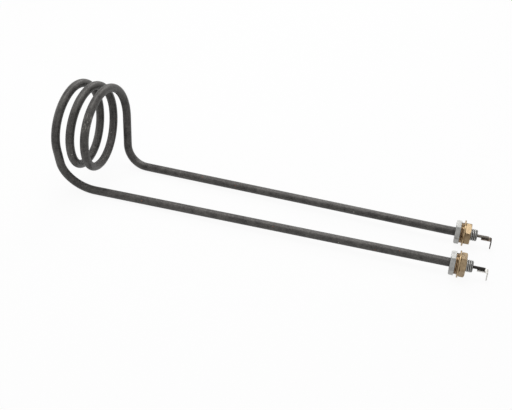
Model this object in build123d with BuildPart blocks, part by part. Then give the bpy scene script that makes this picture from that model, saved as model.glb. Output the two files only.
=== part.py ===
from build123d import *
from math import acos, atan, atan2, ceil, cos, degrees, hypot, radians, sin, tan
import os

# A tubular heating element for warming air. One steel-sheathed tube is wound into a coil of two and a half
# turns, and its ends come back as two long legs, each clamped in an appliance wall by a threaded bush.
# Frame: +X runs along the legs towards the terminals, +Z is up, and both legs lie in the plane z = 0.
# The origin is midway between the bushes, on the plane where their hexagon heads meet the wall.
# All sizes are in millimetres, and all angles in degrees.

# Tube
tube_d = 8.9
tube_wall = 0.75

# Coil, measured on the centreline of the tube
coil_d = 85.0
coil_pitch = 16.0
coil_half_turns = 5
coil_rise = 62.0
coil_offset = 3.5
longest_arc_angle = 95.0

# Legs, with their length counted from the wall to where the coil starts
leg_length = 412.0
bush_spacing = 51.0
far_leg_spread = 9.4
far_leg_straight = 14.0
far_leg_set_r = 90.0
near_bend_r = 33.0
far_bend_r = 23.5

# Inside the tube
pin_d = 3.0
cold_length = 62.0
wire_sides = 8
seal_depth = 8.0
seal_lip = 0.8
bead_length = 6.0

# Threaded bushes
hex_flats = 21.0
head_height = 5.0
thread_d = 12.0
shank_length = 17.0
shank_chamfer = 0.9
braze_gap = 0.05
sheath_setback = 1.0
corner_chamfer_angle = 30.0
corner_chamfer_ratio = 0.9

# Two sealing rings, a washer and a nut on each bush
ring_od = 21.0
ring_thickness = 1.5
ring_rim_chamfer = 0.45
ring_bore_gap = 0.2
washer_od = 26.5
washer_thickness = 1.4
washer_bore_gap = 0.25
nut_height = 6.0
nut_thread_gap = 0.05
nut_countersink = 0.6
nut_angles = {"near": -8.0, "far": 23.0}

# Terminal tabs
tab_gap = 4.3
tab_width = 6.3
tab_thickness = 0.8
tab_foot_length = 10.7
tab_blade_length = 11.0
tab_bend_r = 0.7
tab_tip_chamfer = 1.3
tab_hole_d = 1.8
tab_hole_from_tip = 3.6
weld_flat = 0.25
pin_end_gap = 2.5

# Places that follow from the sizes
near_y = -bush_spacing / 2
far_y = bush_spacing / 2
bush_ys = {"near": near_y, "far": far_y}
coil_r = coil_d / 2
bore_r = tube_d / 2 - tube_wall
sheath_end = shank_length - sheath_setback
bead_start = sheath_end - seal_depth - bead_length
foot_start = shank_length + tab_gap
foot_end = foot_start + tab_foot_length
foot_top = weld_flat - pin_d / 2
pin_end = foot_end - tab_thickness - pin_end_gap
hex_corner_r = hex_flats / 2 / cos(radians(30))
corner_chamfer_depth = (hex_corner_r - hex_flats / 2) * corner_chamfer_ratio
corner_chamfer_length = corner_chamfer_depth * tan(radians(corner_chamfer_angle))
ring_starts = {"inner": 0.0, "outer": ring_thickness}
washer_start = 2 * ring_thickness
nut_start = washer_start + washer_thickness


def tail_lean(side_reach):
    """How far a tail leans in from upright to run from the coil to a leg that far to the side of its axis."""
    sight_line = hypot(side_reach, coil_rise)
    return degrees(atan2(coil_rise, side_reach) - acos(coil_r / sight_line))


coil_start = -tail_lean(coil_offset - near_y)
coil_end = 180 * coil_half_turns + tail_lean(far_y + far_leg_spread - coil_offset)
arc_count = ceil((coil_end - coil_start) / longest_arc_angle)
arc_angle = (coil_end - coil_start) / arc_count
arc_advance = coil_pitch * arc_angle / 360
arc_slant = degrees(atan(arc_advance / (coil_d * tan(radians(arc_angle / 2)))))


def coil_point(angle):
    """A point of the coil's helix, its angle counted from the near side and up over the top."""
    return Vector(
        coil_pitch * angle / 360 - leg_length,
        coil_offset - coil_r * cos(radians(angle)),
        coil_rise + coil_r * sin(radians(angle)),
    )


def coil_heading(angle):
    """The tube's direction where two arcs of the coil meet, slanted so that both arcs share it."""
    around = Vector(0, sin(radians(angle)), cos(radians(angle)))
    return around * cos(radians(arc_slant)) + Vector(1, 0, 0) * sin(radians(arc_slant))


def leg_corner(angle):
    """Where the straight tail from that end of the coil reaches the plane of the legs."""
    start = coil_point(angle)
    heading = coil_heading(angle)
    return start - heading * (start.Z / heading.Z)


near_corner = leg_corner(coil_start)
far_corner = leg_corner(coil_end)
far_set_point = Vector(-far_leg_straight, far_y, 0)


def far_leg_point(x):
    """A point on the sloping stretch of the far leg."""
    share = (far_set_point.X - x) / (far_set_point.X - far_corner.X)
    return far_set_point + (far_corner - far_set_point) * share


def element_route(end_x):
    """The tube's centreline from end_x on the near leg, round the coil and back to end_x on the far leg."""
    joints = [coil_start + arc_angle * k for k in range(arc_count + 1)]
    far_points = [far_corner, far_leg_point(end_x)]
    far_radii = [far_bend_r]
    if end_x > far_set_point.X:
        far_points = [far_corner, far_set_point, (end_x, far_y, 0)]
        far_radii = [far_bend_r, far_leg_set_r]
    with BuildLine() as route:
        FilletPolyline((end_x, near_y, 0), near_corner, coil_point(coil_start), radius=near_bend_r)
        for here, there in zip(joints, joints[1:]):
            TangentArc(coil_point(here), coil_point(there), tangent=coil_heading(here))
        FilletPolyline(coil_point(coil_end), *far_points, radius=far_radii)
    return route.wire()


def section_plane(route):
    """The plane square to the start of a route, with its first axis level."""
    return Plane(origin=route @ 0, x_dir=(0, 1, 0), z_dir=route % 0)


def bush_plane(y, x):
    """A plane square to a bush's axis at x, with its own axes along +Y and +Z."""
    return Plane(origin=(x, y, 0), x_dir=(0, 1, 0), z_dir=(1, 0, 0))


def finish(part, name):
    """Label a finished piece and write it as its own STEP file."""
    part.label = name
    export_step(part, f"parts/{name}.step")


os.makedirs("parts", exist_ok=True)

# Sheath: the bent steel tube, one piece from bush to bush
sheath_route = element_route(sheath_end)
with BuildPart() as sheath:
    with BuildSketch(section_plane(sheath_route)):
        Circle(tube_d / 2)
        Circle(bore_r, mode=Mode.SUBTRACT)
    sweep(path=sheath_route)
finish(sheath.part, "sheath")

# Magnesia filling: packed round the wire and the pins, with a flat-sided channel for the wound wire
filling_route = element_route(bead_start)
with BuildPart() as magnesia_filling:
    with BuildSketch(section_plane(filling_route)):
        Circle(bore_r)
        RegularPolygon(pin_d / 2, wire_sides, major_radius=False, mode=Mode.SUBTRACT)
    sweep(path=filling_route)
finish(magnesia_filling.part, "magnesia_filling")

# Resistance coil: the fine wound wire as one slim rod of its outer size, from pin to pin
wire_route = element_route(-cold_length)
with BuildPart() as resistance_coil:
    with BuildSketch(section_plane(wire_route)):
        RegularPolygon(pin_d / 2, wire_sides, major_radius=False)
    sweep(path=wire_route)
finish(resistance_coil.part, "resistance_coil")

for side, y in bush_ys.items():
    # Terminal pin: a plain rod that follows its leg, with a flat where the tab is welded on
    with BuildLine() as pin_line:
        if side == "near":
            Line((-cold_length, y, 0), (pin_end, y, 0))
        else:
            FilletPolyline(far_leg_point(-cold_length), far_set_point, (pin_end, y, 0), radius=far_leg_set_r)
    pin_route = pin_line.wire()
    with BuildPart() as terminal_pin:
        with BuildSketch(section_plane(pin_route)):
            Circle(pin_d / 2)
        sweep(path=pin_route)
        with BuildSketch(Plane((foot_start, y, foot_top))):
            Rectangle(tab_foot_length, pin_d, align=(Align.MIN, Align.CENTER))
        extrude(amount=-weld_flat, mode=Mode.SUBTRACT)
    finish(terminal_pin.part, f"terminal_pin_{side}")

    # Ceramic bead: keeps the filling in, behind the end seal
    with BuildPart() as ceramic_bead:
        with BuildSketch(bush_plane(y, bead_start)):
            Circle(bore_r)
            Circle(pin_d / 2, mode=Mode.SUBTRACT)
        extrude(amount=bead_length)
    finish(ceramic_bead.part, f"ceramic_bead_{side}")

    # End seal: a silicone plug with a lip over the sheath's cut end
    with BuildPart() as end_seal:
        with BuildSketch(bush_plane(y, sheath_end - seal_depth)):
            Circle(bore_r)
        extrude(amount=seal_depth)
        with BuildSketch(bush_plane(y, sheath_end)):
            Circle(tube_d / 2)
        extrude(amount=seal_lip)
        chamfer(end_seal.faces().sort_by(Axis.X)[-1].edges(), seal_lip / 2)
        with BuildSketch(bush_plane(y, sheath_end - seal_depth)):
            Circle(pin_d / 2)
        extrude(amount=seal_depth + seal_lip, mode=Mode.SUBTRACT)
    finish(end_seal.part, f"end_seal_{side}")

    # Threaded bush: a hexagon head and a plain shank of the thread's outer size, bored for the sheath
    with BuildPart() as threaded_bush:
        with BuildSketch(bush_plane(y, -head_height)):
            Circle(hex_corner_r)
        extrude(amount=head_height)
        outer_rim = threaded_bush.edges().filter_by(GeomType.CIRCLE).sort_by(Axis.X)[0]
        chamfer(outer_rim, corner_chamfer_length, corner_chamfer_depth)
        with BuildSketch(bush_plane(y, -head_height)):
            RegularPolygon(hex_flats / 2, 6, major_radius=False)
        extrude(amount=head_height, mode=Mode.INTERSECT)
        with BuildSketch(bush_plane(y, 0)):
            Circle(thread_d / 2)
        extrude(amount=shank_length)
        chamfer(threaded_bush.faces().sort_by(Axis.X)[-1].edges(), shank_chamfer)
        with BuildSketch(bush_plane(y, -head_height)):
            Circle(tube_d / 2 + braze_gap)
        extrude(amount=head_height + shank_length, mode=Mode.SUBTRACT)
    finish(threaded_bush.part, f"threaded_bush_{side}")

    # Sealing rings: two turned rings with broken rims, one against the other
    for place, start in ring_starts.items():
        with BuildPart() as sealing_ring:
            with BuildSketch(bush_plane(y, start)):
                Circle(ring_od / 2)
                Circle(thread_d / 2 + ring_bore_gap, mode=Mode.SUBTRACT)
            extrude(amount=ring_thickness)
            rims = sealing_ring.edges().filter_by(GeomType.CIRCLE).group_by(SortBy.RADIUS)[-1]
            chamfer(rims, ring_rim_chamfer)
        finish(sealing_ring.part, f"sealing_ring_{place}_{side}")

    # Flat washer: thin and wider than the nut
    with BuildPart() as flat_washer:
        with BuildSketch(bush_plane(y, washer_start)):
            Circle(washer_od / 2)
            Circle(thread_d / 2 + washer_bore_gap, mode=Mode.SUBTRACT)
        extrude(amount=washer_thickness)
    finish(flat_washer.part, f"flat_washer_{side}")

    # Hexagon nut: thin, with its corners chamfered on both faces
    with BuildPart() as hexagon_nut:
        with BuildSketch(bush_plane(y, nut_start)):
            Circle(hex_corner_r)
        extrude(amount=nut_height)
        chamfer(hexagon_nut.edges().filter_by(GeomType.CIRCLE), corner_chamfer_length, corner_chamfer_depth)
        with BuildSketch(bush_plane(y, nut_start)):
            RegularPolygon(hex_flats / 2, 6, major_radius=False, rotation=nut_angles[side])
        extrude(amount=nut_height, mode=Mode.INTERSECT)
        with BuildSketch(bush_plane(y, nut_start)):
            Circle(thread_d / 2 + nut_thread_gap)
        extrude(amount=nut_height, mode=Mode.SUBTRACT)
        mouths = hexagon_nut.edges().filter_by(GeomType.CIRCLE).group_by(SortBy.RADIUS)[0]
        chamfer(mouths, nut_countersink)
    finish(hexagon_nut.part, f"hexagon_nut_{side}")

    # Terminal tab: a folded strip, its foot welded under the pin and its blade turned down
    with BuildPart() as terminal_tab:
        with BuildSketch(Plane.XZ.offset(-y)):
            with BuildLine() as strip_top:
                FilletPolyline(
                    (foot_start, foot_top),
                    (foot_end, foot_top),
                    (foot_end, foot_top - tab_blade_length),
                    radius=tab_bend_r + tab_thickness,
                )
                offset(amount=tab_thickness, side=Side.RIGHT)
            make_face()
        extrude(amount=tab_width / 2, both=True)
        tip_corners = terminal_tab.edges().filter_by(Axis.X).group_by(Axis.Z)[0]
        chamfer(tip_corners, tab_tip_chamfer)
        with BuildSketch(bush_plane(y, foot_end)):
            with Locations((0, foot_top - tab_blade_length + tab_hole_from_tip)):
                Circle(tab_hole_d / 2)
        extrude(amount=-tab_thickness, mode=Mode.SUBTRACT)
    finish(terminal_tab.part, f"terminal_tab_{side}")
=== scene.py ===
from math import acos, atan, atan2, ceil, cos, degrees, hypot, pi, radians, sin, tan

import bmesh
import bpy
from mathutils import Matrix, Vector


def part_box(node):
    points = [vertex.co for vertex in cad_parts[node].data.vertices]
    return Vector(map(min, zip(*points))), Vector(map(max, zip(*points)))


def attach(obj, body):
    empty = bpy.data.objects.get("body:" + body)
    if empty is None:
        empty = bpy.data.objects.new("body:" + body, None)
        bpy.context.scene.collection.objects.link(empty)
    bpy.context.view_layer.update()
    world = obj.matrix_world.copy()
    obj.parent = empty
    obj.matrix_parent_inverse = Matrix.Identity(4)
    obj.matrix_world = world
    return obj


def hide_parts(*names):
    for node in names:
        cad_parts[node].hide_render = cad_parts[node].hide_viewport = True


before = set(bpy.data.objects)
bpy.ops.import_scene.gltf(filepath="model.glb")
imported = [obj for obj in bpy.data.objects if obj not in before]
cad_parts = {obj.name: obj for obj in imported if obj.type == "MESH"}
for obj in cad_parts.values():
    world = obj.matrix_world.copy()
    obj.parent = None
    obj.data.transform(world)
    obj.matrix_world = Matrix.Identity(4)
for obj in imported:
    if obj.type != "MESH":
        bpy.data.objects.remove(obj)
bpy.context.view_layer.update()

# Looks of a tubular heating element: an oxidised steel tube wound into an open coil, with two long legs
# that end in plated bushes, brass rings, washers and nuts, and tinned push-on tabs.
# Lengths are in metres and written as millimetres times mm.
mm = 0.001
SIDES = ("near", "far")

# Tube and its route
TUBE_R = 4.42 * mm
TUBE_WALL = 0.75 * mm
TUBE_SIDES = 40
TUBE_STEP = 2.5 * mm
SHEATH_END = 16 * mm
COIL_R = 42.5 * mm
COIL_PITCH = 16 * mm
COIL_HALF_TURNS = 5
COIL_RISE = 62 * mm
COIL_OFFSET = 3.5 * mm
LEG_LENGTH = 412 * mm
BUSH_SPACING = 51 * mm
FAR_LEG_SPREAD = 9.4 * mm
FAR_LEG_STRAIGHT = 14 * mm
FAR_LEG_SET_R = 90 * mm
NEAR_BEND_R = 33 * mm
FAR_BEND_R = 23.5 * mm
LONGEST_ARC_ANGLE = 95
ARC_SAMPLE = 1.5 * mm

# Marks on the tube: widths in millimetres, a speck's edge and core as shares of the specks' spacing
SCUFF_PLACE = Vector((-378, -33, 88)) * mm
SCUFF_REACH = 13 * mm
OXIDE_CLOUD_MM = 7
OXIDE_GRAIN_MM = 1.5
DRAW_LINE_MM = 0.45
DRAW_LINE_STRETCH = (1, 1, 0.03)
SPECK_SPACING_MM = 8
SPECK_EDGE = 0.075
SPECK_CORE = 0.05
PALE_SPECK_SHARE = 0.45
WORN_STRETCH_MM = 40
NICK_MM = 0.8
NICK_STRETCH = (1, 1, 0.22)

# Bushes, nuts and rings
HEX_FLATS = 21 * mm
HEX_CORNER_R = HEX_FLATS / 2 / cos(radians(30))
HEX_EDGE_BLEND = 0.45 * mm
CORNER_CHAMFER_DEPTH = (HEX_CORNER_R - HEX_FLATS / 2) * 0.9
CORNER_CHAMFER_ANGLE = 30
CHAMFER_RINGS = 8
CHAMFER_REACH = 1.3
MERGE_DISTANCE = 0.0005 * mm
FLAT_STEPS = 14
EDGE_ROUND = 0.22 * mm
ROUND_STEPS = 4
THREAD_R = 6 * mm
THREAD_PITCH = 1.75 * mm
THREAD_DEPTH = 0.55 * mm
THREAD_CREST = 0.45
THREAD_ROOT = 0.8
THREAD_RINGS_A_TURN = 20
# Painted shade in the thread's roots: the plated steel darkens from the first radius inwards to the second
THREAD_SHADE_FROM_R = THREAD_R - 0.32 * mm
THREAD_SHADE_FULL_R = THREAD_R - 0.55 * mm
SHANK_LENGTH = 17 * mm
SHANK_END_MARGIN = 0.05 * mm
SHANK_CHAMFER = 0.9 * mm
BUSH_BORE_R = 4.5 * mm
NUT_BORE_R = 6.05 * mm
NUT_COUNTERSINK = 0.6 * mm
NUT_ANGLES = {"near": -8, "far": 23}
RING_BORE_R = 6.2 * mm
RING_RIM_R = 10.5 * mm
RING_RIM_CHAMFER = 0.45 * mm
# Painted shade in the rings' broken edges, where they meet their neighbours: darker from the first radius inwards
GROOVE_SHADE_FROM_R = RING_RIM_R - 0.05 * mm
GROOVE_SHADE_FULL_R = RING_RIM_R - 0.3 * mm
WASHER_BORE_R = 6.25 * mm

# Terminals
PIN_R = 1.5 * mm
PIN_SIDES = 32
PIN_STEP = 1.0 * mm
PIN_FLAT_Z = -1.25 * mm
PIN_FLAT_START = 21.2 * mm
COLD_LENGTH = 62 * mm
TAB_WIDTH = 6.3 * mm
TAB_THICKNESS = 0.8 * mm
TAB_BEND_R = 0.7 * mm
TAB_TIP_CHAMFER = 1.3 * mm
TAB_HOLE_R = 0.9 * mm
TAB_HOLE_FROM_TIP = 3.6 * mm
TAB_HOLE_SIDES = 24
TAB_EDGE_ROUND = 0.12 * mm
TAB_FOLD_STEPS = 12
TAB_MERGE_DISTANCE = 0.002 * mm
# Painted shade on the far tab: darker from the first place along X to the second, towards its fold
FOLD_SHADE_FROM_X = 28.5 * mm
FOLD_SHADE_FULL_X = 31 * mm
SEAL_DEPTH = 8 * mm
SEAL_EDGE_ROUND = 0.1 * mm

# Camera, as in the photograph
VIEW_AZIMUTH = 15.81
VIEW_ELEVATION = 36.08
VIEW_ROLL = 1.71
VIEW_AIM = Vector((-209.85, 3.5, 0.54)) * mm
VIEW_DISTANCE = 858.78 * mm
VIEW_FOCAL_PX = 817.65
PICTURE_WIDTH_PX = 512
SENSOR_WIDTH_MM = 36

# Studio: the share of plain white in the floor's look, and the room's level as a light
FLOOR_HALF_WIDTH = 4.0
FLOOR_WHITE_SHARE = 0.93
ROOM_LEVEL = 0.4
# Soft lamps: place and width in metres, and power in watts
LAMPS = {
    "overhead": ((-0.3, 0.1, 1.1), 0.7, 5.5),
    "back_top": ((-0.25, 0.95, 0.75), 0.5, 3.2),
    "left_fill": ((-1.3, -0.1, 0.5), 0.8, 1.8),
}


# Small tools for nodes, colours and meshes

def add(tree, kind, links=None, **settings):
    """Add one node. links gives each input, by name or number, a value or another node's output."""
    made = tree.nodes.new(kind)
    for name, value in settings.items():
        setattr(made, name, value)
    for socket, value in (links or {}).items():
        if isinstance(value, bpy.types.NodeSocket):
            tree.links.new(value, made.inputs[socket])
        else:
            made.inputs[socket].default_value = value
    return made


def linear(hex_colour):
    """An sRGB hex colour as linear red, green, blue and alpha."""
    channels = [int(hex_colour[i:i + 2], 16) / 255 for i in (1, 3, 5)]
    return [c / 12.92 if c <= 0.04045 else ((c + 0.055) / 1.055) ** 2.4 for c in channels] + [1.0]


def per_mm(size):
    """The scale of a pattern whose features are that many millimetres wide."""
    return 1 / (size * mm)


def show(mesh, name, material, slot, *nodes):
    """Put a finished mesh in the scene as one piece that rides on the part and stands for CAD nodes."""
    piece = bpy.data.objects.new(name, mesh)
    bpy.context.scene.collection.objects.link(piece)
    if material.name not in mesh.materials:
        mesh.materials.append(material)
    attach(piece, "root")
    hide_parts(*nodes)
    return piece


def plain_mesh(source):
    """The evaluated mesh of an object, after which the object is removed."""
    bpy.context.view_layer.update()
    evaluated = source.evaluated_get(bpy.context.evaluated_depsgraph_get())
    mesh = bpy.data.meshes.new_from_object(evaluated)
    bpy.data.objects.remove(source)
    return mesh


def shaped(mesh, tree=None, inputs=None, modifiers=()):
    """A mesh after a geometry tree, with its named inputs, and then ordinary modifiers."""
    source = bpy.data.objects.new("blank", mesh)
    bpy.context.scene.collection.objects.link(source)
    if tree:
        modifier = source.modifiers.new("tree", "NODES")
        modifier.node_group = tree
        for item in tree.interface.items_tree:
            if item.in_out == "INPUT" and item.name in inputs:
                modifier[item.identifier] = inputs[item.name]
    for kind, settings in modifiers:
        modifier = source.modifiers.new(kind, kind)
        for name, value in settings.items():
            setattr(modifier, name, value)
    return plain_mesh(source)


FLAT_FACES = ("WEIGHTED_NORMAL", {"keep_sharp": True})


def new_tree(name, sockets):
    """An empty geometry tree with a geometry in and out and the named inputs."""
    tree = bpy.data.node_groups.new(name, "GeometryNodeTree")
    tree.interface.new_socket("Geometry", in_out="INPUT", socket_type="NodeSocketGeometry")
    for label, kind in sockets.items():
        tree.interface.new_socket(label, in_out="INPUT", socket_type=kind)
    tree.interface.new_socket("Geometry", in_out="OUTPUT", socket_type="NodeSocketGeometry")
    return tree, add(tree, "NodeGroupInput").outputs


def end_tree(tree, geometry, material):
    """Realize what the tree made, give it its material and hand it on."""
    real = add(tree, "GeometryNodeRealizeInstances", {0: geometry})
    dressed = add(tree, "GeometryNodeSetMaterial", {"Geometry": real.outputs[0], "Material": material})
    add(tree, "NodeGroupOutput", {0: dressed.outputs[0]})


# Materials

def new_material(name):
    """A material with one Principled shader. Returns the material, its tree and the shader."""
    material = bpy.data.materials.new(name)
    material.use_nodes = True
    tree = material.node_tree
    tree.nodes.clear()
    shader = add(tree, "ShaderNodeBsdfPrincipled")
    add(tree, "ShaderNodeOutputMaterial", {"Surface": shader.outputs[0]})
    return material, tree, shader


def oxidised_sheath():
    """Heat-resisting steel tube, drawn, bent and annealed: near black oxide with a satin sheen.

    Draw lines run along it, drawn coarser than the real ones so that they show. The oxide is cloudy and
    mottled, pale and rusty specks lie here and there, and the front turn has a patch of pale scuffs.
    """
    material, tree, shader = new_material("oxidised_steel_tube")
    along = add(tree, "ShaderNodeAttribute", attribute_name="straightened").outputs["Vector"]
    stretched = add(tree, "ShaderNodeMapping", {"Vector": along, "Scale": DRAW_LINE_STRETCH}).outputs[0]
    cloud = add(tree, "ShaderNodeTexNoise",
                {"Vector": along, "Scale": per_mm(OXIDE_CLOUD_MM), "Detail": 5, "Roughness": 0.62})
    grain = add(tree, "ShaderNodeTexNoise",
                {"Vector": along, "Scale": per_mm(OXIDE_GRAIN_MM), "Detail": 4, "Roughness": 0.7})
    mottle = add(tree, "ShaderNodeMix", {0: 0.5, 2: cloud.outputs[0], 3: grain.outputs[0]})
    draw = add(tree, "ShaderNodeTexNoise", {"Vector": stretched, "Scale": per_mm(DRAW_LINE_MM), "Detail": 3})
    speck = add(tree, "ShaderNodeTexVoronoi", {"Vector": along, "Scale": per_mm(SPECK_SPACING_MM)})
    dot = add(tree, "ShaderNodeMapRange", {0: speck.outputs["Distance"], 1: SPECK_EDGE, 2: SPECK_CORE})
    worn = add(tree, "ShaderNodeTexNoise", {"Vector": along, "Scale": per_mm(WORN_STRETCH_MM), "Detail": 1})
    where = add(tree, "ShaderNodeMapRange", {0: worn.outputs[0], 1: 0.47, 2: 0.5, 4: 0.9})
    shown = add(tree, "ShaderNodeMath", {0: dot.outputs[0], 1: where.outputs[0]}, operation="MULTIPLY")
    kind = add(tree, "ShaderNodeSeparateColor", {0: speck.outputs["Color"]})
    rusty = add(tree, "ShaderNodeMath", {0: kind.outputs[0], 1: PALE_SPECK_SHARE}, operation="GREATER_THAN")
    spot = add(tree, "ShaderNodeMix", {0: rusty.outputs[0], 6: linear("#bdb9b0"), 7: linear("#8f4a28")},
               data_type="RGBA")
    place = add(tree, "ShaderNodeTexCoord").outputs["Object"]
    away = add(tree, "ShaderNodeVectorMath", {0: place, 1: SCUFF_PLACE}, operation="DISTANCE")
    patch = add(tree, "ShaderNodeMapRange", {0: away.outputs["Value"], 1: SCUFF_REACH, 2: SCUFF_REACH / 2, 4: 0.5})
    streak = add(tree, "ShaderNodeMapping", {"Vector": along, "Scale": NICK_STRETCH}).outputs[0]
    nick = add(tree, "ShaderNodeTexNoise", {"Vector": streak, "Scale": per_mm(NICK_MM), "Detail": 2})
    nicks = add(tree, "ShaderNodeMapRange", {0: nick.outputs[0], 1: 0.57, 2: 0.66})
    scuffed = add(tree, "ShaderNodeMath", {0: nicks.outputs[0], 1: patch.outputs[0]}, operation="MULTIPLY")
    oxide = add(tree, "ShaderNodeValToRGB", {0: mottle.outputs[0]})
    ramp = oxide.color_ramp.elements
    ramp[0].position, ramp[0].color = 0.38, linear("#2e2c2b")
    ramp[1].position, ramp[1].color = 0.64, linear("#5a5855")
    lined = add(tree, "ShaderNodeMix", {0: 0.35, 6: oxide.outputs[0], 7: draw.outputs[0]},
                data_type="RGBA", blend_type="OVERLAY")
    spotted = add(tree, "ShaderNodeMix", {0: shown.outputs[0], 6: lined.outputs[2], 7: spot.outputs[2]},
                  data_type="RGBA")
    pale = add(tree, "ShaderNodeMix", {0: scuffed.outputs[0], 6: spotted.outputs[2], 7: linear("#bdb9b0")},
               data_type="RGBA")
    tree.links.new(pale.outputs[2], shader.inputs["Base Color"])
    shader.inputs["Metallic"].default_value = 0.5
    rough = add(tree, "ShaderNodeMapRange", {0: cloud.outputs[0], 1: 0.3, 2: 0.7, 3: 0.38, 4: 0.52})
    tree.links.new(rough.outputs[0], shader.inputs["Roughness"])
    fine = add(tree, "ShaderNodeBump", {"Strength": 0.25, "Distance": 0.03 * mm, "Height": grain.outputs[0]})
    lines = add(tree, "ShaderNodeBump",
                {"Strength": 0.3, "Distance": 0.04 * mm, "Height": draw.outputs[0], "Normal": fine.outputs[0]})
    tree.links.new(lines.outputs[0], shader.inputs["Normal"])
    return material


def on_bush_axis(tree):
    """A point's place along X and its distance from the axis of the nearer bush."""
    place = add(tree, "ShaderNodeTexCoord").outputs["Object"]
    split = add(tree, "ShaderNodeSeparateXYZ", {0: place})
    side = add(tree, "ShaderNodeMath", {0: split.outputs[1]}, operation="ABSOLUTE")
    across = add(tree, "ShaderNodeMath", {0: side.outputs[0], 1: BUSH_SPACING / 2}, operation="SUBTRACT")
    flat = add(tree, "ShaderNodeCombineXYZ", {0: across.outputs[0], 1: split.outputs[2]})
    radius = add(tree, "ShaderNodeVectorMath", {0: flat.outputs[0]}, operation="LENGTH")
    return split.outputs[0], radius.outputs["Value"]


def turning_marks(tree, width):
    """Noise that is level round a bush's axis, so it draws the fine circles that a lathe tool leaves.

    Real marks are about 0.1 mm apart, and these are drawn coarser so that they show.
    """
    x, radius = on_bush_axis(tree)
    unrolled = add(tree, "ShaderNodeCombineXYZ", {0: x, 1: radius})
    return add(tree, "ShaderNodeTexNoise", {"Vector": unrolled.outputs[0], "Scale": per_mm(width), "Detail": 2})


def shade_inwards(tree, colour, dark, unshaded_r, shaded_r):
    """Painted shade: the colour darkening inwards from an unshaded radius to a shaded one, on what lies along the
    shank.
    """
    x, radius = on_bush_axis(tree)
    deep = add(tree, "ShaderNodeMapRange", {0: radius, 1: unshaded_r, 2: shaded_r})
    half = SHANK_LENGTH / 2
    beside = add(tree, "ShaderNodeMath", {0: x, 1: half, 2: half - SHANK_END_MARGIN}, operation="COMPARE")
    share = add(tree, "ShaderNodeMath", {0: deep.outputs[0], 1: beside.outputs[0]}, operation="MULTIPLY")
    mixed = add(tree, "ShaderNodeMix", {0: share.outputs[0], 6: colour, 7: linear(dark)}, data_type="RGBA")
    return mixed.outputs[2]


def shade_along_x(tree, colour, dark, unshaded_x, shaded_x):
    """Painted shade: the colour darkening from an unshaded place along X to a dark one, towards a fold."""
    share = add(tree, "ShaderNodeMapRange", {0: on_bush_axis(tree)[0], 1: unshaded_x, 2: shaded_x})
    mixed = add(tree, "ShaderNodeMix", {0: share.outputs[0], 6: colour, 7: linear(dark)}, data_type="RGBA")
    return mixed.outputs[2]


def metal(name, low, high, roughness, marks, mark_height, patch, marking=None):
    """A worked metal with tool marks, whose colour wanders between two tones in patches of a given size.

    marking is a function that paints shade into the colour in some place, shade_inwards or shade_along_x, followed
    by its values.
    """
    material, tree, shader = new_material(name)
    place = add(tree, "ShaderNodeTexCoord").outputs["Object"]
    cloud = add(tree, "ShaderNodeTexNoise", {"Vector": place, "Scale": per_mm(patch), "Detail": 4})
    tone = add(tree, "ShaderNodeValToRGB", {0: cloud.outputs[0]})
    ramp = tone.color_ramp.elements
    ramp[0].position, ramp[0].color = 0.35, linear(low)
    ramp[1].position, ramp[1].color = 0.65, linear(high)
    colour = tone.outputs[0]
    if marking:
        change, *values = marking
        colour = change(tree, colour, *values)
    tree.links.new(colour, shader.inputs["Base Color"])
    shader.inputs["Metallic"].default_value = 1.0
    rough = add(tree, "ShaderNodeMapRange",
                {0: cloud.outputs[0], 1: 0.3, 2: 0.7, 3: roughness - 0.05, 4: roughness + 0.07})
    tree.links.new(rough.outputs[0], shader.inputs["Roughness"])
    turned = turning_marks(tree, marks)
    bump = add(tree, "ShaderNodeBump",
               {"Strength": 0.5, "Distance": mark_height * mm, "Height": turned.outputs[0]})
    tree.links.new(bump.outputs[0], shader.inputs["Normal"])
    return material


def plain_material(name, low, high, roughness, grain, metallic=0.0):
    """A material with a fine grain between two tones, for the pins, the seals and what is sealed inside."""
    material, tree, shader = new_material(name)
    place = add(tree, "ShaderNodeTexCoord").outputs["Object"]
    noise = add(tree, "ShaderNodeTexNoise", {"Vector": place, "Scale": per_mm(grain), "Detail": 4})
    tone = add(tree, "ShaderNodeMix", {0: noise.outputs[0], 6: linear(low), 7: linear(high)}, data_type="RGBA")
    tree.links.new(tone.outputs[2], shader.inputs["Base Color"])
    shader.inputs["Roughness"].default_value = roughness
    shader.inputs["Metallic"].default_value = metallic
    bump = add(tree, "ShaderNodeBump", {"Strength": 0.3, "Distance": 0.02 * mm, "Height": noise.outputs[0]})
    tree.links.new(bump.outputs[0], shader.inputs["Normal"])
    return material


SHEATH_STEEL = oxidised_sheath()
# Steel, turned, threaded and zinc plated: a cool grey with an even shine and painted shade in the thread's roots
PLATED_STEEL = metal("zinc_plated_steel", "#8a8a88", "#a0a09d", 0.3, 0.25, 0.01, 3.0,
                     (shade_inwards, "#2c2926", THREAD_SHADE_FROM_R, THREAD_SHADE_FULL_R))
# Brass, turned from bar: warm and fairly bright on its rims, with painted shade in the broken edges
RING_BRASS = metal("turned_brass", "#6f5a43", "#a1896a", 0.22, 0.22, 0.008, 2.5,
                   (shade_inwards, "#45321f", GROOVE_SHADE_FROM_R, GROOVE_SHADE_FULL_R))
# Brass sheet, stamped: a little duller than turned brass
WASHER_BRASS = metal("stamped_brass", "#8f7b60", "#ac9776", 0.28, 0.5, 0.01, 3.0)
# Brass hexagon bar, cut and chamfered: broad soft reflections on its flats
NUT_BRASS = metal("machined_brass", "#84725a", "#9c896c", 0.28, 0.3, 0.01, 3.0)
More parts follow.
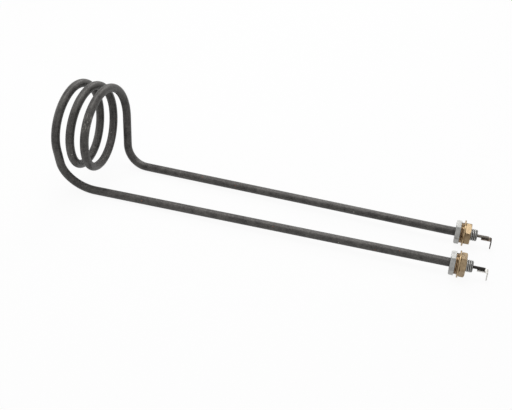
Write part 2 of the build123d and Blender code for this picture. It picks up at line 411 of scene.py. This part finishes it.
# Steel strip, tinned and folded: pale and satin on the near side, darker on the far side
# The far copy is partly browned by welding heat and partly painted shade, darkest towards its fold
TAB_STEEL = {
    "near": metal("tinned_steel_strip", "#b0aea9", "#d9d7d2", 0.46, 0.6, 0.01, 2.0),
    "far": metal("heat_tinted_and_shaded_steel_strip", "#5f4833", "#a5a19a", 0.5, 0.6, 0.01, 1.6,
                 (shade_along_x, "#3b332c", FOLD_SHADE_FROM_X, FOLD_SHADE_FULL_X)),
}
# Steel rod, drawn and heated: one steel in two tones as painted shade and light, near black and far grey
PIN_STEEL = {
    "near": plain_material("drawn_steel_shaded_copy", "#1a1816", "#33302d", 0.34, 0.8, 0.8),
    "far": plain_material("drawn_steel_lit_copy", "#4a4642", "#767169", 0.36, 0.8, 0.8),
}
# Silicone, poured and cured: black and softly matt
SEAL_SILICONE = plain_material("cured_silicone", "#171514", "#262321", 0.55, 0.5)
# Magnesia powder, compacted by rolling the tube: white and chalky
MAGNESIA = plain_material("compacted_magnesia", "#e6e3da", "#f4f2ec", 0.9, 0.3)
# Nickel chromium wire, drawn and wound: grey and faintly bright
WIRE_ALLOY = plain_material("drawn_nickel_chromium_wire", "#6d6862", "#8a847c", 0.35, 0.4, 1.0)
# Steatite, pressed and fired without a glaze: cream and dry
BEAD_CERAMIC = plain_material("unglazed_steatite", "#ddd6c6", "#eee9dd", 0.8, 0.4)


# The tube's route

def tail_lean(side_reach):
    """How far a tail leans in from upright to run from the coil to a leg that far to the side of its axis."""
    sight_line = hypot(side_reach, COIL_RISE)
    return degrees(atan2(COIL_RISE, side_reach) - acos(COIL_R / sight_line))


COIL_START = -tail_lean(COIL_OFFSET + BUSH_SPACING / 2)
COIL_END = 180 * COIL_HALF_TURNS + tail_lean(BUSH_SPACING / 2 + FAR_LEG_SPREAD - COIL_OFFSET)
ARC_COUNT = ceil((COIL_END - COIL_START) / LONGEST_ARC_ANGLE)
ARC_ANGLE = (COIL_END - COIL_START) / ARC_COUNT
ARC_SLANT = atan(COIL_PITCH * ARC_ANGLE / 360 / (2 * COIL_R * tan(radians(ARC_ANGLE / 2))))


def coil_point(angle):
    """A point of the coil's helix, its angle counted from the near side and up over the top."""
    turn = radians(angle)
    return Vector((
        COIL_PITCH * angle / 360 - LEG_LENGTH,
        COIL_OFFSET - COIL_R * cos(turn),
        COIL_RISE + COIL_R * sin(turn),
    ))


def coil_heading(angle):
    """The tube's direction where two arcs of the coil meet."""
    turn = radians(angle)
    return Vector((sin(ARC_SLANT), sin(turn) * cos(ARC_SLANT), cos(turn) * cos(ARC_SLANT)))


def arc(start, end, heading):
    """Points of the arc that leaves start in a heading and ends at end, without its first point."""
    chord = end - start
    inward = (chord - heading * chord.dot(heading)).normalized()
    turn = 2 * atan2(chord.dot(inward), chord.dot(heading))
    radius = chord.length / 2 / sin(turn / 2)
    count = ceil(radius * turn / ARC_SAMPLE)
    angles = [turn * k / count for k in range(1, count + 1)]
    return [start + (heading * sin(a) + inward * (1 - cos(a))) * radius for a in angles]


def rounded_path(corners, radii):
    """A path of straight runs with an arc of its own radius at each inner corner."""
    path = [corners[0]]
    for before, corner, after, radius in zip(corners, corners[1:], corners[2:], radii):
        coming = (corner - before).normalized()
        going = (after - corner).normalized()
        reach = radius * tan(coming.angle(going) / 2)
        start = corner - coming * reach
        path.append(start)
        path += arc(start, corner + going * reach, coming)
    return path + [corners[-1]]


def leg_corner(angle):
    """Where the straight tail from that end of the coil reaches the plane of the legs."""
    start = coil_point(angle)
    heading = coil_heading(angle)
    return start - heading * (start.z / heading.z)


NEAR_CORNER = leg_corner(COIL_START)
FAR_CORNER = leg_corner(COIL_END)
FAR_SET_POINT = Vector((-FAR_LEG_STRAIGHT, BUSH_SPACING / 2, 0))


def element_route(end_x):
    """The tube's centreline from end_x on the near leg, round the coil and back to end_x on the far leg."""
    near_end = Vector((end_x, -BUSH_SPACING / 2, 0))
    far_end = Vector((end_x, BUSH_SPACING / 2, 0))
    joints = [COIL_START + ARC_ANGLE * k for k in range(ARC_COUNT + 1)]
    route = rounded_path([near_end, NEAR_CORNER, coil_point(COIL_START)], [NEAR_BEND_R])
    for here, there in zip(joints, joints[1:]):
        route += arc(coil_point(here), coil_point(there), coil_heading(here))
    tail = rounded_path([coil_point(COIL_END), FAR_CORNER, FAR_SET_POINT, far_end], [FAR_BEND_R, FAR_LEG_SET_R])
    return route + tail[1:]


def line_mesh(points):
    """A mesh of edges alone, from point to point."""
    mesh = bpy.data.meshes.new("line")
    mesh.from_pydata(points, [(k, k + 1) for k in range(len(points) - 1)], [])
    return mesh


def round_bar_tree():
    """A tree that sweeps a circle along a line and keeps each point's place on the straightened bar."""
    tree, given = new_tree("round_bar_along_line", {
        "Radius": "NodeSocketFloat", "Sides": "NodeSocketInt", "Step": "NodeSocketFloat",
        "Closed ends": "NodeSocketBool", "Material": "NodeSocketMaterial",
    })
    line = add(tree, "GeometryNodeMeshToCurve", {"Mesh": given["Geometry"]})
    even = add(tree, "GeometryNodeResampleCurve", {"Curve": line.outputs[0], "Length": given["Step"]}, mode="LENGTH")
    spline = add(tree, "GeometryNodeSplineParameter")
    measured = add(tree, "GeometryNodeCaptureAttribute", {0: even.outputs[0]}, domain="POINT")
    measured.capture_items.new("FLOAT", "Along")
    tree.links.new(spline.outputs["Length"], measured.inputs["Along"])
    circle = add(tree, "GeometryNodeCurvePrimitiveCircle", {"Resolution": given["Sides"], "Radius": given["Radius"]})
    around = add(tree, "GeometryNodeCaptureAttribute", {0: circle.outputs[0]}, domain="POINT")
    around.capture_items.new("VECTOR", "Around")
    tree.links.new(add(tree, "GeometryNodeInputPosition").outputs[0], around.inputs["Around"])
    swept = add(tree, "GeometryNodeCurveToMesh", {
        "Curve": measured.outputs[0], "Profile Curve": around.outputs[0], "Fill Caps": given["Closed ends"]})
    split = add(tree, "ShaderNodeSeparateXYZ", {0: around.outputs["Around"]})
    place = add(tree, "ShaderNodeCombineXYZ",
                {0: split.outputs[0], 1: split.outputs[1], 2: measured.outputs["Along"]})
    kept = add(tree, "GeometryNodeStoreNamedAttribute",
               {"Geometry": swept.outputs[0], "Name": "straightened", "Value": place.outputs[0]},
               data_type="FLOAT_VECTOR", domain="POINT")
    smooth = add(tree, "GeometryNodeSetShadeSmooth", {0: kept.outputs[0]})
    end_tree(tree, smooth.outputs[0], given["Material"])
    return tree


ROUND_BAR = round_bar_tree()


def bar_along(points, radius, sides, step, closed, material, modifiers=()):
    """The mesh of a round bar or tube along a line of points."""
    inputs = {"Radius": radius, "Sides": sides, "Step": step, "Closed ends": closed, "Material": material}
    return shaped(line_mesh(points), ROUND_BAR, inputs, modifiers)


def make_sheath():
    """The bent tube, hollow to its cut ends."""
    wall = ("SOLIDIFY", {"thickness": TUBE_WALL, "offset": -1, "use_even_offset": True})
    mesh = bar_along(element_route(SHEATH_END), TUBE_R, TUBE_SIDES, TUBE_STEP, False, SHEATH_STEEL, [wall])
    return show(mesh, "bent_tube", SHEATH_STEEL, "sheath_steel", "sheath")


# Turned and hexagonal pieces

def around_angles(turn):
    """Angles round a hexagon, in degrees from +Y towards +Z, set closer together near its corners."""
    reach = tan(radians(30))
    steps = [sin(pi / 2 * (2 * k / FLAT_STEPS - 1)) for k in range(FLAT_STEPS)]
    on_flat = [degrees(atan(reach * s)) for s in steps]
    return [radians(turn + 30 + 60 * side + a) for side in range(6) for a in on_flat]


def blended_minimum(a, b, blend):
    """The smaller of two lengths, rounded off where they are nearly equal."""
    share = max(blend - abs(a - b), 0) / blend
    return min(a, b) - share * share * blend / 4


def hexagon_radius(angle, turn):
    """The distance from a hexagon's centre to its rounded outline, in the direction of an angle."""
    normals = [radians(turn + 30 + 60 * side) for side in range(6)]
    # A flat that faces away counts as far off
    nearest = sorted(HEX_FLATS / 2 / max(cos(angle - n), 0.1) for n in normals)
    return blended_minimum(nearest[0], nearest[1], HEX_EDGE_BLEND)


def ring(x, y, radii, angles):
    """One ring of points round a bush's axis."""
    return [(x, y + r * cos(a), r * sin(a)) for r, a in zip(radii, angles)]


def circle(x, y, radius, angles):
    """One ring of points at the same distance from a bush's axis."""
    return ring(x, y, [radius] * len(angles), angles)


def loop_mesh(rings):
    """A closed mesh from rings that follow a loop, the last joined to the first."""
    size = len(rings[0])
    count = len(rings)
    points = [p for each in rings for p in each]
    faces = []
    for i in range(count):
        here = i * size
        there = (i + 1) % count * size
        for j in range(size):
            after = (j + 1) % size
            faces.append((here + j, here + after, there + after, there + j))
    mesh = bpy.data.meshes.new("loop")
    mesh.from_pydata(points, [], faces)
    tidy_mesh(mesh)
    return mesh


def tidy_mesh(mesh):
    """Merge doubled points, turn all faces outwards and shade them smoothly."""
    work = bmesh.new()
    work.from_mesh(mesh)
    bmesh.ops.remove_doubles(work, verts=work.verts, dist=MERGE_DISTANCE)
    bmesh.ops.recalc_face_normals(work, faces=work.faces)
    work.to_mesh(mesh)
    work.free()
    mesh.shade_smooth()


def softened(corners, radius):
    """The outline of a closed section with every corner rounded, as (x, r) points."""
    outline = []
    for before, corner, after in zip(corners[-1:] + corners[:-1], corners, corners[1:] + corners[:1]):
        back = (Vector(before) - Vector(corner)).normalized()
        ahead = (Vector(after) - Vector(corner)).normalized()
        half = back.angle(ahead) / 2
        reach = radius / tan(half)
        centre = Vector(corner) + (back + ahead).normalized() * (radius / sin(half))
        start = Vector(corner) + back * reach - centre
        finish = Vector(corner) + ahead * reach - centre
        for k in range(ROUND_STEPS + 1):
            bent = start.lerp(finish, k / ROUND_STEPS).normalized() * radius
            outline.append(centre + bent)
    return outline


def make_turned(node, name, material, slot, section, radius=EDGE_ROUND):
    """A plain turned ring in place of a CAD node, from the section that section(start, end, rim) gives."""
    low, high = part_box(node)
    y = (low.y + high.y) / 2
    angles = around_angles(0)
    outline = softened(section(low.x, high.x, (high.z - low.z) / 2), radius)
    mesh = loop_mesh([circle(x, y, r, angles) for x, r in outline])
    mesh = shaped(mesh, modifiers=[FLAT_FACES])
    return show(mesh, name, material, slot, node)


def ring_section(start, end, rim):
    """A sealing ring: square bore and a rim with both edges broken."""
    c = RING_RIM_CHAMFER
    bore = RING_BORE_R
    return [(start, bore), (start, rim - c), (start + c, rim), (end - c, rim), (end, rim - c), (end, bore)]


def washer_section(start, end, rim):
    """A flat washer: square bore and square rim."""
    return [(start, WASHER_BORE_R), (start, rim), (end, rim), (end, WASHER_BORE_R)]


def seal_section(start, end, rim):
    """The silicone plug and the lip that closes the tube's mouth round the pin."""
    inner = TUBE_R - TUBE_WALL
    lip = start + SEAL_DEPTH
    swell = (end - lip) / 2
    return [
        (start, PIN_R), (start, inner), (lip, inner), (lip, rim),
        (end - swell, rim), (end, rim - swell), (end, PIN_R),
    ]


def hexagon_outer(x, faces, angles, turn):
    """Radii of a hexagon at x, whose corners are turned off at an angle towards the given end faces."""
    nearest_face = min(abs(x - face) for face in faces)
    cone = HEX_CORNER_R - CORNER_CHAMFER_DEPTH + nearest_face / tan(radians(CORNER_CHAMFER_ANGLE))
    return [blended_minimum(hexagon_radius(a, turn), cone, HEX_EDGE_BLEND) for a in angles]


def hexagon_rings(y, start, end, faces, turn, angles):
    """The outer rings of a hexagon from start to end, with both face edges rounded."""
    chamfer = CORNER_CHAMFER_DEPTH * tan(radians(CORNER_CHAMFER_ANGLE)) * CHAMFER_REACH
    rounding = [pi / 2 * k / ROUND_STEPS for k in range(ROUND_STEPS + 1)]
    edge = [(EDGE_ROUND * (1 - cos(t)), EDGE_ROUND * (1 - sin(t))) for t in rounding]
    slope = [EDGE_ROUND + (chamfer - EDGE_ROUND) * k / CHAMFER_RINGS for k in range(1, CHAMFER_RINGS + 1)]
    first = [(start + d, inset) for d, inset in edge] + [(start + d, 0) for d in slope if start in faces]
    last = [(end - d, inset) for d, inset in edge] + [(end - d, 0) for d in slope if end in faces]
    return [
        ring(x, y, [r - inset for r in hexagon_outer(x, faces, angles, turn)], angles)
        for x, inset in first + last[::-1]
    ]


def thread_tree():
    """A tree that cuts a helical thread into the outside of a turned shank along X."""
    tree, given = new_tree("cut_thread", {
        "Axis Y": "NodeSocketFloat", "Start": "NodeSocketFloat", "Bore": "NodeSocketFloat",
        "Outer radius": "NodeSocketFloat", "Pitch": "NodeSocketFloat", "Depth": "NodeSocketFloat",
        "Material": "NodeSocketMaterial",
    })
    place = add(tree, "ShaderNodeSeparateXYZ", {0: add(tree, "GeometryNodeInputPosition").outputs[0]})
    x, z = place.outputs[0], place.outputs[2]
    side = add(tree, "ShaderNodeMath", {0: place.outputs[1], 1: given["Axis Y"]}, operation="SUBTRACT").outputs[0]
    flat = add(tree, "ShaderNodeCombineXYZ", {0: side, 1: z}).outputs[0]
    radius = add(tree, "ShaderNodeVectorMath", {0: flat}, operation="LENGTH").outputs["Value"]
    angle = add(tree, "ShaderNodeMath", {0: z, 1: side}, operation="ARCTAN2").outputs[0]
    turned = add(tree, "ShaderNodeMath", {0: angle, 1: 2 * pi}, operation="DIVIDE").outputs[0]
    along = add(tree, "ShaderNodeMath", {0: x, 1: given["Pitch"]}, operation="DIVIDE").outputs[0]
    phase = add(tree, "ShaderNodeMath", {0: along, 1: turned}, operation="SUBTRACT").outputs[0]
    to_and_fro = add(tree, "ShaderNodeMath", {0: phase, 1: 0.5}, operation="PINGPONG").outputs[0]
    wave = add(tree, "ShaderNodeMath", {0: to_and_fro, 1: 2.0}, operation="MULTIPLY").outputs[0]
    flank = add(tree, "ShaderNodeMapRange", {0: wave, 1: THREAD_CREST, 2: THREAD_ROOT}).outputs[0]
    groove = add(tree, "ShaderNodeMath", {0: flank, 1: given["Depth"]}, operation="MULTIPLY").outputs[0]
    cut = add(tree, "ShaderNodeMath", {0: given["Outer radius"], 1: groove}, operation="SUBTRACT").outputs[0]
    kept = add(tree, "ShaderNodeMath", {0: radius, 1: cut}, operation="MINIMUM").outputs[0]
    share = add(tree, "ShaderNodeMath", {0: kept, 1: radius}, operation="DIVIDE").outputs[0]
    moved_y = add(tree, "ShaderNodeMath", {0: side, 1: share, 2: given["Axis Y"]}, operation="MULTIPLY_ADD")
    moved_z = add(tree, "ShaderNodeMath", {0: z, 1: share}, operation="MULTIPLY")
    moved = add(tree, "ShaderNodeCombineXYZ", {0: x, 1: moved_y.outputs[0], 2: moved_z.outputs[0]}).outputs[0]
    on_shank = add(tree, "ShaderNodeMath", {0: x, 1: given["Start"]}, operation="GREATER_THAN").outputs[0]
    outside = add(tree, "ShaderNodeMath", {0: radius, 1: given["Bore"]}, operation="GREATER_THAN").outputs[0]
    chosen = add(tree, "FunctionNodeBooleanMath", {0: on_shank, 1: outside}, operation="AND").outputs[0]
    threaded = add(tree, "GeometryNodeSetPosition",
                   {"Geometry": given["Geometry"], "Selection": chosen, "Position": moved})
    end_tree(tree, threaded.outputs[0], given["Material"])
    return tree


CUT_THREAD = thread_tree()


def make_bush(side):
    """A threaded bush: hexagon head with its outer corners turned off, and a threaded shank."""
    node = f"threaded_bush_{side}"
    low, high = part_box(node)
    y = (low.y + high.y) / 2
    angles = around_angles(0)
    rings = [circle(low.x, y, BUSH_BORE_R, angles)]
    rings += hexagon_rings(y, low.x, 0, [low.x], 0, angles)
    pace = THREAD_PITCH / THREAD_RINGS_A_TURN
    shank = high.x - SHANK_CHAMFER
    for k in range(int(shank / pace) + 1):
        rings.append(circle(k * pace, y, THREAD_R, angles))
    for k in range(CHAMFER_RINGS + 1):
        step = SHANK_CHAMFER * k / CHAMFER_RINGS
        rings.append(circle(shank + step, y, THREAD_R - step, angles))
    rings.append(circle(high.x, y, BUSH_BORE_R, angles))
    inputs = {"Axis Y": y, "Start": EDGE_ROUND, "Bore": BUSH_BORE_R + EDGE_ROUND, "Outer radius": THREAD_R,
              "Pitch": THREAD_PITCH, "Depth": THREAD_DEPTH, "Material": PLATED_STEEL}
    mesh = shaped(loop_mesh(rings), CUT_THREAD, inputs, [FLAT_FACES])
    return show(mesh, f"plated_bush_{side}", PLATED_STEEL, "bush_steel", node)


def make_nut(side):
    """A thin hexagon nut, chamfered on both faces, with countersunk mouths."""
    node = f"hexagon_nut_{side}"
    low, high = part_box(node)
    y = (-1 if side == "near" else 1) * BUSH_SPACING / 2
    turn = NUT_ANGLES[side]
    angles = around_angles(turn)
    mouth = NUT_BORE_R + NUT_COUNTERSINK
    rings = [circle(low.x + NUT_COUNTERSINK, y, NUT_BORE_R, angles), circle(low.x, y, mouth, angles)]
    rings += hexagon_rings(y, low.x, high.x, [low.x, high.x], turn, angles)
    rings += [circle(high.x, y, mouth, angles), circle(high.x - NUT_COUNTERSINK, y, NUT_BORE_R, angles)]
    mesh = shaped(loop_mesh(rings), modifiers=[FLAT_FACES])
    return show(mesh, f"brass_nut_{side}", NUT_BRASS, "nut_brass", node)


# Terminals

def far_leg_point(x):
    """A point on the sloping stretch of the far leg."""
    share = (FAR_SET_POINT.x - x) / (FAR_SET_POINT.x - FAR_CORNER.x)
    return FAR_SET_POINT + (FAR_CORNER - FAR_SET_POINT) * share


def make_pin(side):
    """The cold end's rod, with a flat where the tab is welded and a broken edge at its end."""
    node = f"terminal_pin_{side}"
    end_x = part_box(node)[1].x
    if side == "near":
        y = -BUSH_SPACING / 2
        line = [Vector((-COLD_LENGTH, y, 0)), Vector((end_x, y, 0))]
    else:
        end = Vector((end_x, BUSH_SPACING / 2, 0))
        line = rounded_path([far_leg_point(-COLD_LENGTH), FAR_SET_POINT, end], [FAR_LEG_SET_R])
    mesh = bar_along(line, PIN_R, PIN_SIDES, PIN_STEP, True, PIN_STEEL[side])
    work = bmesh.new()
    work.from_mesh(mesh)
    caps = [f for f in work.faces if len(f.verts) == PIN_SIDES]
    rims = {e for f in caps for e in f.edges}
    bmesh.ops.bevel(work, geom=list(rims), offset=EDGE_ROUND, segments=ROUND_STEPS, affect="EDGES", profile=0.5)
    for v in work.verts:
        if v.co.x > PIN_FLAT_START:
            v.co.z = max(v.co.z, PIN_FLAT_Z)
    bmesh.ops.recalc_face_normals(work, faces=work.faces)
    work.to_mesh(mesh)
    work.free()
    mesh = shaped(mesh, modifiers=[FLAT_FACES])
    return show(mesh, f"cold_pin_{side}", PIN_STEEL[side], "pin_steel", node)


def strip_outline(length):
    """The flat blank of a tab as a filled curve, its tip corners cut off and its hole punched."""
    inset = TAB_EDGE_ROUND
    half = TAB_WIDTH / 2 - inset
    tip = length - inset
    cut = TAB_TIP_CHAMFER
    outline = [
        (inset, -half), (tip - cut, -half), (tip, cut - half), (tip, half - cut), (tip - cut, half), (inset, half),
    ]
    hole_x = length - TAB_HOLE_FROM_TIP
    hole_r = TAB_HOLE_R + inset
    turns = [2 * pi * k / TAB_HOLE_SIDES for k in range(TAB_HOLE_SIDES)]
    hole = [(hole_x + hole_r * cos(a), hole_r * sin(a)) for a in turns]
    curve = bpy.data.curves.new("strip", "CURVE")
    curve.dimensions = "2D"
    curve.fill_mode = "BOTH"
    curve.extrude = TAB_THICKNESS / 2 - inset
    curve.bevel_depth = inset
    curve.bevel_resolution = 2
    for points in (outline, hole):
        spline = curve.splines.new("POLY")
        spline.points.add(len(points) - 1)
        for point, (a, b) in zip(spline.points, points):
            point.co = (a, b, 0, 1)
        spline.use_cyclic_u = True
    return curve


def make_tab(side):
    """A tinned strip folded at a right angle: its foot lies under the pin and its blade points down."""
    node = f"terminal_tab_{side}"
    low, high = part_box(node)
    y = (low.y + high.y) / 2
    outer = TAB_BEND_R + TAB_THICKNESS
    foot = high.x - low.x - outer
    bend = outer * pi / 2
    length = foot + bend + (high.z - low.z - outer)
    blank = bpy.data.objects.new("blank", strip_outline(length))
    bpy.context.scene.collection.objects.link(blank)
    mesh = plain_mesh(blank)
    work = bmesh.new()
    work.from_mesh(mesh)
    bmesh.ops.remove_doubles(work, verts=work.verts, dist=TAB_MERGE_DISTANCE)
    for k in range(TAB_FOLD_STEPS + 1):
        everything = work.verts[:] + work.edges[:] + work.faces[:]
        crease = (foot + bend * k / TAB_FOLD_STEPS, 0, 0)
        bmesh.ops.bisect_plane(work, geom=everything, plane_co=crease, plane_no=(1, 0, 0))
    for v in work.verts:
        s, w, depth = v.co.x, v.co.y, TAB_THICKNESS / 2 - v.co.z
        turn = min(max((s - foot) / outer, 0), pi / 2)
        before = min(s, foot)
        after = max(s - foot - bend, 0)
        x = low.x + before + (outer - depth) * sin(turn)
        z = high.z - outer + (outer - depth) * cos(turn) - after
        v.co = (x, y + w, z)
    bmesh.ops.recalc_face_normals(work, faces=work.faces)
    work.to_mesh(mesh)
    work.free()
    mesh.shade_smooth()
    mesh = shaped(mesh, modifiers=[FLAT_FACES])
    return show(mesh, f"folded_tab_{side}", TAB_STEEL[side], "tab_steel", node)


make_sheath()
for side in SIDES:
    make_bush(side)
    make_turned(f"sealing_ring_inner_{side}", f"brass_ring_inner_{side}", RING_BRASS, "ring_brass", ring_section)
    make_turned(f"sealing_ring_outer_{side}", f"brass_ring_outer_{side}", RING_BRASS, "ring_brass", ring_section)
    make_turned(f"flat_washer_{side}", f"brass_washer_{side}", WASHER_BRASS, "washer_brass", washer_section)
    make_nut(side)
    make_pin(side)
    make_turned(f"end_seal_{side}", f"silicone_seal_{side}", SEAL_SILICONE, "seal_silicone", seal_section,
                SEAL_EDGE_ROUND)
    make_tab(side)

# Pieces sealed inside keep their solids and get their own material
INSIDE = {"magnesia_filling": MAGNESIA, "resistance_coil": WIRE_ALLOY,
          "ceramic_bead_near": BEAD_CERAMIC, "ceramic_bead_far": BEAD_CERAMIC}
for node, material in INSIDE.items():
    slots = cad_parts[node].data.materials
    slots.clear()
    slots.append(material)


# Stage: a pale floor that the part lies on, soft lamps and the camera

def background_rays(tree):
    """1 for camera, glossy and transmission rays, which see the pale background itself."""
    rays = add(tree, "ShaderNodeLightPath").outputs
    direct = add(tree, "ShaderNodeMath", {0: rays["Is Camera Ray"], 1: rays["Is Glossy Ray"]}, operation="MAXIMUM")
    seen = add(tree, "ShaderNodeMath", {0: direct.outputs[0], 1: rays["Is Transmission Ray"]}, operation="MAXIMUM")
    return seen.outputs[0]


def make_floor():
    """A pale floor that meets the washers' rims and the underside of the near bend.

    To the eye and in gloss it is nearly white, and the rest of its look is paper that keeps the part's shadow.
    """
    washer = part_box("flat_washer_near")[0]
    bend_x = NEAR_CORNER.x + NEAR_BEND_R
    slope = atan((washer.z + TUBE_R) / (washer.x - bend_x))
    mesh = bpy.data.meshes.new("floor")
    half = FLOOR_HALF_WIDTH
    mesh.from_pydata([(-half, -half, 0), (half, -half, 0), (half, half, 0), (-half, half, 0)], [], [(0, 1, 2, 3)])
    floor = bpy.data.objects.new("floor", mesh)
    floor.location = (washer.x, 0, washer.z)
    floor.rotation_euler = (0, -slope, 0)
    bpy.context.scene.collection.objects.link(floor)
    material = bpy.data.materials.new("white_paper")
    material.use_nodes = True
    tree = material.node_tree
    tree.nodes.clear()
    paper = add(tree, "ShaderNodeBsdfDiffuse", {"Color": linear("#f2f2f2")})
    white = add(tree, "ShaderNodeEmission", {"Color": linear("#ffffff"), "Strength": 1.0})
    share = add(tree, "ShaderNodeMath", {0: background_rays(tree), 1: FLOOR_WHITE_SHARE}, operation="MULTIPLY")
    mix = add(tree, "ShaderNodeMixShader", {0: share.outputs[0], 1: paper.outputs[0], 2: white.outputs[0]})
    add(tree, "ShaderNodeOutputMaterial", {"Surface": mix.outputs[0]})
    mesh.materials.append(material)


def make_world():
    """A plain pale room: white to the eye and in gloss, and a softer level as a light."""
    world = bpy.data.worlds.new("studio")
    bpy.context.scene.world = world
    world.use_nodes = True
    tree = world.node_tree
    tree.nodes.clear()
    white = add(tree, "ShaderNodeBackground", {"Color": linear("#ffffff"), "Strength": 1.0})
    room = add(tree, "ShaderNodeBackground", {"Color": linear("#ffffff"), "Strength": ROOM_LEVEL})
    mix = add(tree, "ShaderNodeMixShader", {0: background_rays(tree), 1: room.outputs[0], 2: white.outputs[0]})
    add(tree, "ShaderNodeOutputWorld", {"Surface": mix.outputs[0]})


def make_lamp(name, place, size, power):
    """A square soft lamp that faces the middle of the part."""
    light = bpy.data.lights.new(name, "AREA")
    light.size = size
    light.energy = power
    lamp = bpy.data.objects.new(name, light)
    lamp.location = place
    lamp.rotation_euler = (Vector(place) - VIEW_AIM).to_track_quat("Z", "Y").to_euler()
    bpy.context.scene.collection.objects.link(lamp)


def make_camera():
    """The photograph's camera, from the angles, distance and focal length that fit its outline."""
    a, e, roll = radians(VIEW_AZIMUTH), radians(VIEW_ELEVATION), radians(VIEW_ROLL)
    back = Vector((sin(a) * cos(e), -cos(a) * cos(e), sin(e)))
    level = Vector((cos(a), sin(a), 0))
    upright = back.cross(level)
    right = level * cos(roll) + upright * sin(roll)
    up = upright * cos(roll) - level * sin(roll)
    data = bpy.data.cameras.new("camera")
    data.sensor_width = SENSOR_WIDTH_MM
    data.lens = VIEW_FOCAL_PX / PICTURE_WIDTH_PX * SENSOR_WIDTH_MM
    data.clip_start = 0.01
    camera = bpy.data.objects.new("camera", data)
    turn = Matrix((right, up, back)).transposed()
    camera.matrix_world = Matrix.Translation(VIEW_AIM + back * VIEW_DISTANCE) @ turn.to_4x4()
    bpy.context.scene.collection.objects.link(camera)
    bpy.context.scene.camera = camera


make_floor()
make_world()
for name, (place, size, power) in LAMPS.items():
    make_lamp(name, place, size, power)
make_camera()
bpy.context.scene.view_settings.view_transform = "Standard"
